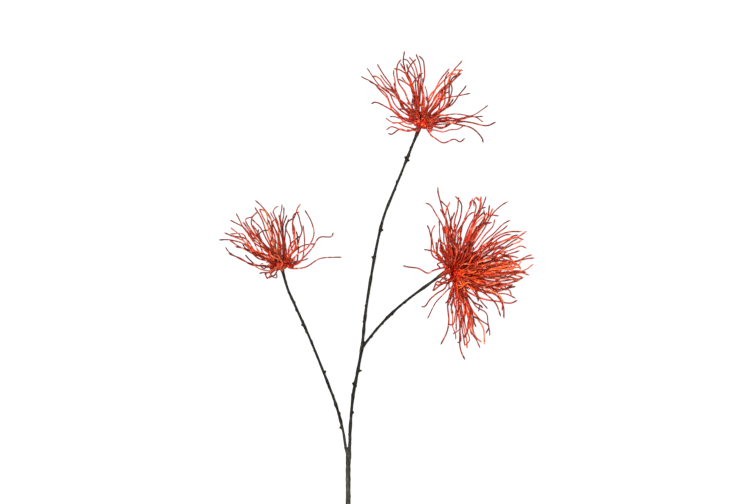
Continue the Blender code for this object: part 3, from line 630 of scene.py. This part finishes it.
def cut_wood_material():
    """The pale wood of the cut end, faintly mottled."""
    material, tree, shader, place = new_material("cut_wood")
    mottle = texture(tree, "ShaderNodeTexNoise", place, Scale=900.0, Detail=4.0).outputs["Fac"]
    colour = ramp(tree, mottle, ((0.35, (0.36, 0.26, 0.14)), (0.65, (0.56, 0.44, 0.27))))
    tree.links.new(colour, shader.inputs["Base Color"])
    tree.links.new(bump(tree, mottle, 0.5, 0.0002).outputs["Normal"], shader.inputs["Normal"])
    shader.inputs["Roughness"].default_value = 0.8
    return material


def rachis_material():
    """The short stalk that joins a head to the stem: brown at the stem and deeper red towards the heart."""
    material, tree, shader, place = new_material("rachis")
    along = add(tree, "ShaderNodeAttribute", attribute_name="along").outputs["Fac"]
    base = ramp(tree, along, (
        (0.0, (0.014, 0.010, 0.007)), (0.16, (0.07, 0.025, 0.012)), (0.4, (0.20, 0.034, 0.012)),
        (0.72, (0.42, 0.024, 0.008)), (1.0, (0.48, 0.024, 0.008)),
    ))
    mottle = texture(tree, "ShaderNodeTexNoise", place, Scale=600.0, Detail=4.0).outputs["Fac"]
    shade = ramp(tree, mottle, ((0.3, (0.6, 0.55, 0.5)), (0.65, (1.15, 1.15, 1.15))))
    tree.links.new(mix(tree, "MULTIPLY", 0.9, base, shade), shader.inputs["Base Color"])
    tree.links.new(bump(tree, mottle, 0.6, 0.0003).outputs["Normal"], shader.inputs["Normal"])
    shader.inputs["Roughness"].default_value = 0.55
    shader.inputs["Specular IOR Level"].default_value = 0.1
    return material


def floor_material():
    """A plain pale ground, lit a little from itself so that it stays white."""
    material, tree, shader, place = new_material("pale_ground")
    fine = texture(tree, "ShaderNodeTexNoise", place, Scale=300.0, Detail=2.0).outputs["Fac"]
    colour = ramp(tree, fine, ((0.0, (0.09, 0.09, 0.09)), (1.0, (0.11, 0.11, 0.11))))
    tree.links.new(colour, shader.inputs["Base Color"])
    shader.inputs["Roughness"].default_value = 0.9
    shader.inputs["Specular IOR Level"].default_value = 0.1
    shader.inputs["Emission Color"].default_value = (1.0, 1.0, 1.0, 1.0)
    shader.inputs["Emission Strength"].default_value = GROUND_GLOW
    return material


class Sweep:
    """Gathers tubes for one mesh, and how far along, of which tone and how near the sky each point is."""

    def __init__(self):
        self.verts = []
        self.faces = []
        self.along = []
        self.tone = []
        self.facing_sky = []

    def tube(self, path, radii, sides, tone=0.5, along=None):
        """Add a tube round a path, with a radius at each of its points and a flat cap at each end."""
        first = len(self.verts)
        side = None
        last = len(path) - 1
        for i, centre in enumerate(path):
            ahead = (path[min(i + 1, last)] - path[max(i - 1, 0)]).normalized()
            if side is None:
                side = ahead.cross(Vector((0, 0, 1)))
                if side.length < 0.1:
                    side = ahead.cross(Vector((1, 0, 0)))
            side = (side - ahead * side.dot(ahead)).normalized()
            up = side.cross(ahead)
            sky = Vector((0, 0, 1)) - ahead * ahead.z
            sky = sky.normalized() if sky.length > 0.05 else up
            for k in range(sides):
                a = math.tau * (k + 0.5) / sides - math.pi / 2
                out = side * math.cos(a) + up * math.sin(a)
                self.verts.append(centre + out * radii[i])
                self.along.append(along[i] if along else i / last)
                self.tone.append(tone)
                # How much each point faces the sky, which the strand material turns into painted shade and
                # painted highlight.
                self.facing_sky.append(0.5 + 0.5 * out.dot(sky))
        for i in range(last):
            for k in range(sides):
                low = first + i * sides + k
                low_next = first + i * sides + (k + 1) % sides
                self.faces.append((low, low_next, low_next + sides, low + sides))
        end = first + last * sides
        self.faces.append(tuple(range(first + sides - 1, first - 1, -1)))
        self.faces.append(tuple(range(end, end + sides)))

    def build(self, name, material):
        """Write the mesh in metres as a smooth object that goes no lower than the surface."""
        shift = Vector((ORIGIN_X, ORIGIN_Y, 0.0))
        mesh = bpy.data.meshes.new(name)
        points = [(p - shift) * MM for p in self.verts]
        mesh.from_pydata([(p.x, p.y, max(p.z, 0.0)) for p in points], [], self.faces)
        for key, values in (("along", self.along), ("tone", self.tone), ("facing_sky", self.facing_sky)):
            mesh.attributes.new(key, "FLOAT", "POINT").data.foreach_set("value", values)
        mesh.materials.append(material)
        mesh.shade_smooth()
        mesh.set_sharp_from_angle(angle=SHARP_ANGLE)
        ob = bpy.data.objects.new(name, mesh)
        bpy.context.scene.collection.objects.link(ob)
        return ob


def declare(ob, node):
    """The piece stands for a CAD node and rides on the one body."""
    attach(ob, "root")
    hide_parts(node)


def fine_branch(path, low, high, swellings, foot=None):
    """A branch in small steps, with its swellings and a slight unevenness of the bark."""
    line = smooth_path(path, round(sum((b - a).length for a, b in zip(path, path[1:])) / FINE_STEP))
    fine = branch_radii(line, low, high, swellings, foot)
    fine = [r * 1.05 + 0.35 * math.exp(-((line[-1] - p).length / 5.0)) for p, r in zip(line, fine)]
    uneven = [1.0 + 0.12 * noise.noise(p * 0.3) + 0.05 * noise.noise(p * 0.9) for p in line]
    return line, [r * u for r, u in zip(fine, uneven)]


def add_knobs(sweep, rng, line, radii):
    """Low knobs on alternate sides of a branch, evenly spaced but for a step or two, where leaves were."""
    step = round(KNOB_SPACING / FINE_STEP)
    turn = 0.0
    k = step
    while k < len(line) - step:
        along = (line[k + 1] - line[k - 1]).normalized()
        across = along.cross(Vector((0, 0, 1))).normalized()
        turn += math.pi * rng.uniform(0.7, 1.2)
        out = across * math.cos(turn) + across.cross(along) * math.sin(turn) * 0.5
        size = rng.uniform(0.6, 1.05)
        middle = line[k] + out * (radii[k] - size * 0.35)
        spots = [2.0 * i / KNOB_STEPS - 1.0 for i in range(KNOB_STEPS + 1)]
        knob = [middle + along * size * 1.9 * t for t in spots]
        sweep.tube(knob, [size * math.sqrt(1.03 - t**2) for t in spots], KNOB_SIDES)
        k += step + rng.randint(-2, 2)


def make_stem(branches, bark, wood):
    """The stem and its shoots in fine steps, with swellings, buds and knobs, joined in one skin of bark."""
    sweep = Sweep()
    rng = random.Random(STEM_SEED)
    facts = (
        (FORK_RADIUS, TIP_RADIUS, MAIN_SWELLINGS, FOOT_RADIUS, MAIN_BUDS),
        (SHOOT_RADIUS, TIP_RADIUS, LEFT_SWELLINGS, None, LEFT_BUDS),
        (SHOOT_RADIUS, TIP_RADIUS, RIGHT_SWELLINGS, None, ()),
    )
    for (path, _), (low, high, swellings, foot, buds) in zip(branches, facts):
        line, fine = fine_branch(path, low, high, swellings, foot)
        sweep.tube(line, fine, FINE_SIDES)
        for place, side, reach in buds:
            k = min(range(1, len(line) - 1), key=lambda i: abs(line[i].y - place))
            along = (line[k + 1] - line[k - 1]).normalized()
            across = along.cross(Vector((0, 0, 1))).normalized() * side
            root = line[k] - along * BUD_RISE * 1.6
            tip = line[k] + across * (fine[k] + reach) + along * BUD_RISE
            bud = smooth_path([root, root.lerp(tip, 0.55) - along * 0.25, tip], BUD_STEPS)
            spots = [i / BUD_STEPS for i in range(BUD_STEPS + 1)]
            girths = [BUD_RADIUS * 1.1 + (BUD_TIP_RADIUS - BUD_RADIUS) * t**1.5 for t in spots]
            girths[-1] *= 0.8
            sweep.tube(bud, girths, BUD_SIDES)
        add_knobs(sweep, rng, line, fine)
    ob = sweep.build("stem_bark", bark)
    remesh = ob.modifiers.new("skin", "REMESH")
    remesh.mode = "VOXEL"
    remesh.voxel_size = SKIN_VOXEL
    smooth = ob.modifiers.new("ease", "SMOOTH")
    smooth.factor = SKIN_EASE
    smooth.iterations = SKIN_ROUNDS
    skin = bpy.data.meshes.new_from_object(ob.evaluated_get(bpy.context.evaluated_depsgraph_get()))
    ob.modifiers.clear()
    ob.data = skin
    skin.materials.clear()
    skin.materials.append(bark)
    skin.materials.append(wood)
    cut = (CUT_END_Y - ORIGIN_Y) * MM + CUT_DEPTH
    for face in skin.polygons:
        if face.center.y < cut and face.normal.y < -0.7:
            face.material_index = 1
    skin.shade_smooth()
    declare(ob, "stem")


def strand_radii(rng, girth):
    """Thin from a thicker root to the tip, with a slightly thicker, rounded end."""
    girth *= rng.uniform(0.86, 1.14)
    radii = []
    for i in range(STRAND_SEGMENTS + 1):
        t = i / STRAND_SEGMENTS
        radius = ROOT_RADIUS + (STRAND_TIP_RADIUS - ROOT_RADIUS) * t**0.8
        radius += 0.25 * (1.0 - ease(t / 0.2))
        radius += 0.14 * math.exp(-(((t - 0.965) / 0.03) ** 2))
        if i == STRAND_SEGMENTS:
            radius *= 0.45
        radii.append(radius * girth)
    return radii


def wavy(rng, path):
    """A slight crinkle across the strand, none at its root."""
    ahead = path[-1] - path[0]
    side = ahead.cross(Vector((0.3, 0.2, 1.0))).normalized()
    lift = ahead.cross(side).normalized()
    depth = rng.uniform(0.15, 0.75)
    waves = rng.uniform(1.5, 3.8)
    phase = rng.uniform(0.0, math.tau)
    out = []
    for i, p in enumerate(path):
        t = i / (len(path) - 1)
        a = math.tau * waves * t + phase
        out.append(p + (side * math.sin(a) + lift * math.cos(a * 0.7) * 0.6) * depth * min(1.0, t * 3.0))
    return out


def extra_strands(rng, name, head):
    """More followers beside seeded leading strands, where strands already lie close."""
    strands = []
    routes = head["routes"]
    crowded = [a for a in routes if sum(math.dist(a[-2:], b[-2:]) < CROWD_REACH for b in routes) > CROWD]
    for _ in range(EXTRA_STRANDS[name]):
        route = rng.choice(crowded)
        turn = rng.uniform(-0.2, 0.2)
        scale = rng.uniform(0.62, 0.97)
        beside = beside_route(rng, route, turn, scale, 2.0)
        rises = rng.random() < 0.6
        strands.append((strand_points(rng, head, beside, rises), rises, None))
    return strands


def fan_strands(rng, name, head):
    """Strands spread over a fan, which make a head dense there, and the single curls."""
    strands = []
    for middle, half_width, least, greatest, dark, light, count in FANS[name]:
        for _ in range(count):
            rises = rng.random() < 0.6
            bearing = math.radians(middle + half_width * rng.uniform(-1.0, 1.0))
            reach = rng.uniform(least, greatest)
            bends = ((0.35, rng.uniform(-0.2, 0.2)), (0.7, rng.uniform(-0.22, 0.22)), (1.0, 0.0))
            route = spread_route(bearing, reach, bends)
            strands.append((strand_points(rng, head, route, rises), rises, rng.uniform(dark, light)))
    for tone, *route in LOOPS[name]:
        strands.append((strand_points(rng, head, route, True), True, tone))
    return strands


def core_point(rng, head, back, low):
    """A point on a head's core, no further back to the stem or down than asked, and the way out there."""
    ahead, across = head_axes(head)
    wide, deep, tall = head["core"]
    v = w = -2.0
    while v < back or w < low:
        u, v, w = Vector((rng.gauss(0, 1), rng.gauss(0, 1), rng.gauss(0, 1))).normalized()
    heart = Vector((head["heart"][0], head["heart"][1], HEART_HEIGHT))
    up = Vector((0, 0, 1))
    return (
        heart + (across * wide * u + ahead * deep * v + up * tall * w) * CORE_SCALE,
        (across * u / wide + ahead * v / deep + up * w / tall).normalized(),
    )


def flower_bases(rng, name, head):
    """Short bent stubs with rounded ends that stand all over the core."""
    stubs = []
    for _ in range(FLOWER_BASES[name]):
        foot, out = core_point(rng, head, -0.5, -0.6)
        lean = Vector((rng.uniform(-1, 1), rng.uniform(-1, 1), rng.uniform(-1, 1)))
        reach = rng.uniform(1.8, 4.4)
        stubs.append([foot - out, foot + out * reach * 0.5, foot + out * reach + lean * 1.3])
    return stubs


def heart_curls(rng, name, head):
    """Short curls that fill the heart of a head."""
    curls = []
    for _ in range(HEART_CURLS[name]):
        foot, out = core_point(rng, head, 0.0, -0.1)
        side = out.cross(Vector((rng.uniform(-1, 1), rng.uniform(-1, 1), rng.uniform(-1, 1)))).normalized()
        reach = rng.uniform(5.0, 14.0)
        loop = rng.uniform(1.6, 3.6)
        up = side.cross(out)
        curls.append([
            foot - out * 1.5,
            foot + out * reach * 0.6 + side * loop * 0.3,
            foot + out * reach + side * loop + up * loop * 0.3,
            foot + out * (reach - loop * 0.7) + side * loop * 1.7 + up * loop * 0.9,
            foot + out * (reach - loop * 1.4) + side * loop * 0.9 + up * loop * 1.2,
        ])
    return curls


def tone_of(rng, name, points, tips):
    """A strand's own tone: a random one, more orange towards the warm side and darker where it lies alone."""
    power, bearing, share = TONES[name]
    way = points[-1] - points[0]
    turn = math.atan2(way.y, way.x) - math.radians(bearing)
    turn = (turn + math.pi) % math.tau - math.pi
    own = rng.random() ** power
    own += (1.0 - own) * share * math.exp(-((turn / 0.5) ** 2))
    crowd = sum((points[-1] - tip).xy.length < ALONE_REACH for tip in tips)
    return own * (0.2 + 0.8 * ease((crowd - 1) / 5.0))


def make_strands(name, head, path, material):
    """One head's strands, curls and flower bases, as one piece."""
    line = smooth_path(path[-BRANCH_END_POINTS:], BRANCH_END_STEPS)
    rng = random.Random(head["seed"] + SHAPE_SEED)
    tint = random.Random(head["seed"] + TINT_SEED)
    sweep = Sweep()
    strands = [(points, rises, None) for points, rises in head_strands(head)]
    tips = [points[-1] for points, *_ in strands]
    for points, rises, tone in strands + extra_strands(rng, name, head) + fan_strands(rng, name, head):
        strand = wavy(tint, smooth_path(points, STRAND_SEGMENTS))
        strand = [strand[0]] + [clear_of_stem(p, rises, line) for p in strand[1:]]
        tone = tone_of(tint, name, points, tips) if tone is None else tone
        sweep.tube(strand, strand_radii(tint, GIRTHS[name]), STRAND_SIDES, tone)
    for points in heart_curls(rng, name, head):
        curl = smooth_path(points, CURL_STEPS)
        curl = [curl[0]] + [clear_of_stem(p, p.z > HEART_HEIGHT, line) for p in curl[1:]]
        reach = [0.16 + 0.3 * i / CURL_STEPS for i in range(CURL_STEPS + 1)]
        girths = [0.68 - 0.14 * i / CURL_STEPS for i in range(CURL_STEPS + 1)]
        sweep.tube(curl, girths, STRAND_SIDES, tint.uniform(0.35, 0.9), reach)
    for points in flower_bases(rng, name, head):
        steps = len(BASE_RADII) - 1
        reach = [0.1 + 0.3 * i / steps for i in range(steps + 1)]
        sweep.tube(smooth_path(points, steps), BASE_RADII, STRAND_SIDES, tint.uniform(0.2, 0.8), reach)
    declare(sweep.build("strands_" + name.split("_")[1], material), name)


def make_rachis(name, head, path, material):
    """The short neck from the stem's end into a head, and the lumpy core that its strands stand out of."""
    tip = path[-1]
    along = (path[-1] - path[-2]).normalized()
    heart = Vector((head["heart"][0], head["heart"][1], HEART_HEIGHT))
    start = tip + along * SEAT_GAP
    reach = (heart - start).length
    ahead, across = head_axes(head)
    wide, deep, tall = head["core"]
    end = heart + across * (start - heart).dot(across) * 0.75
    neck = [tip - along * 0.7, start + along * reach * 0.2, start + along * reach * 0.4, end]
    steps = range(NECK_STEPS + 1)
    girths = [TIP_RADIUS + 0.2 + 0.45 * ease(i / 6) + 0.4 * ease(i / NECK_STEPS) for i in steps]
    sweep = Sweep()
    sweep.tube(smooth_path(neck, NECK_STEPS), girths, NECK_SIDES, along=[0.8 * i / NECK_STEPS for i in steps])
    first = len(sweep.verts)
    spots = [-1.0 + 2.0 * i / NECK_STEPS for i in steps]
    rounds = [math.sqrt(1.02 - t * t) for t in spots]
    lobe = [Vector((t, 0, 0)) for t in spots]
    sweep.tube(lobe, rounds, CORE_SIDES, along=[0.8 + 0.2 * abs(t) for t in spots])
    for k in range(first, len(sweep.verts)):
        p = sweep.verts[k] * CORE_SCALE
        p = across * p.x * wide + ahead * p.y * deep + Vector((0, 0, p.z * tall))
        sweep.verts[k] = heart + p * (1.0 + 0.12 * noise.noise(p * 0.6))
    declare(sweep.build("rachis_" + name.split("_")[1], material), name)


def make_stage():
    """A pale ground, soft light from above and all round, and the camera looking straight down."""
    world = bpy.data.worlds.new("soft_sky")
    bpy.context.scene.world = world
    world.use_nodes = True
    sky = world.node_tree.nodes["Background"]
    sky.inputs["Color"].default_value = (1.0, 1.0, 1.0, 1.0)
    sky.inputs["Strength"].default_value = SKY_STRENGTH
    mesh = bpy.data.meshes.new("ground")
    signs = ((-1, -1), (1, -1), (1, 1), (-1, 1))
    mesh.from_pydata([(x * GROUND_HALF, y * GROUND_HALF, GROUND_LEVEL) for x, y in signs], [], [(0, 1, 2, 3)])
    mesh.materials.append(floor_material())
    ground = bpy.data.objects.new("ground", mesh)
    bpy.context.scene.collection.objects.link(ground)
    for name, place, size, power in LIGHTS:
        light = bpy.data.lights.new(name, "AREA")
        light.shape = "DISK"
        light.size = size
        light.energy = power
        lamp = bpy.data.objects.new(name, light)
        lamp.location = place
        lamp.rotation_euler = (-Vector(place)).to_track_quat("-Z", "Y").to_euler()
        bpy.context.scene.collection.objects.link(lamp)
    camera = bpy.data.cameras.new("camera")
    camera.sensor_width = SENSOR_WIDTH
    camera.lens = SENSOR_WIDTH * CAMERA_HEIGHT / FRAME_WIDTH
    camera.clip_end = CAMERA_REACH
    eye = bpy.data.objects.new("camera", camera)
    eye.location = (FRAME_CENTRE[0], FRAME_CENTRE[1], HEART_HEIGHT * MM + CAMERA_HEIGHT)
    bpy.context.scene.collection.objects.link(eye)
    bpy.context.scene.camera = eye
    bpy.context.scene.view_settings.view_transform = "Standard"


def main():
    """Dress the stem and each head, and set the stage."""
    branches = stem_branches()
    make_stem(branches, bark_material(), cut_wood_material())
    rachis = rachis_material()
    for (name, head), (path, _) in zip(HEADS.items(), branches):
        # Each head's satin material also holds painted highlights and painted shade along the strands' sides.
        satin = strand_material("satin_" + name.split("_")[1], BROWNS[name])
        make_strands(name, head, path, satin)
        make_rachis(name, head, path, rachis)
    make_stage()


main()
